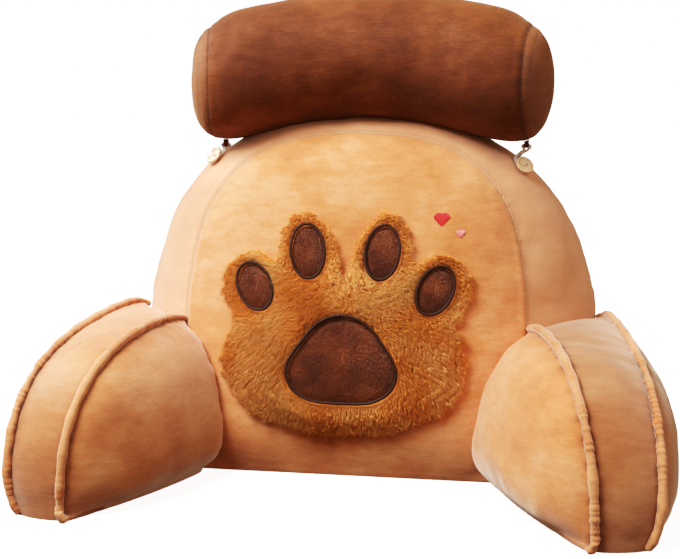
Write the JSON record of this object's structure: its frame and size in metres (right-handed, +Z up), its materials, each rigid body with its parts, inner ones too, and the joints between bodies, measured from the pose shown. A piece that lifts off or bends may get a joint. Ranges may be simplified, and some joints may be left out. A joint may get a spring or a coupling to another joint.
{
  "type": "reading pillow with arms",
  "caption": "Plush reading pillow: a reclined domed backrest with padded arms, a head bolster on elastic loops and buttons, and a long-pile paw on the front.",
  "frame": {"origin": "on the surface it stands on, in the middle of the flat base under the backrest", "axes": "+X to the right of someone who faces the pillow, +Y towards its back, +Z up"},
  "size_m": [0.6914, 0.3977, 0.5312],
  "materials": {
    "plush_tan": "short velvety pile, soft sheen",
    "plush_brown": "short velvety pile, soft sheen",
    "pile_golden": "long brushed pile",
    "pad_brown": "short dense pile",
    "button": "polished cast resin",
    "elastic": "braided covered elastic",
    "thread": "twisted sewing thread"
  },
  "bodies": {
    "root": {"backrest": "plush_tan", "arm_left": "plush_tan", "arm_right": "plush_tan", "welt_left_inner": "plush_tan", "welt_left_outer": "plush_tan", "welt_right_inner": "plush_tan", "welt_right_outer": "plush_tan", "bolster": "plush_brown", "bolster_tab_left": "plush_brown", "bolster_tab_right": "plush_brown", "elastic_loop_left": "elastic", "elastic_loop_right": "elastic", "button_left": "button", "button_right": "button", "button_thread_left": "thread", "button_thread_right": "thread", "paw_pile": "pile_golden", "palm_pad": "pad_brown", "toe_pad_1": "pad_brown", "toe_pad_2": "pad_brown", "toe_pad_3": "pad_brown", "toe_pad_4": "pad_brown"}
  },
  "joints": []
}
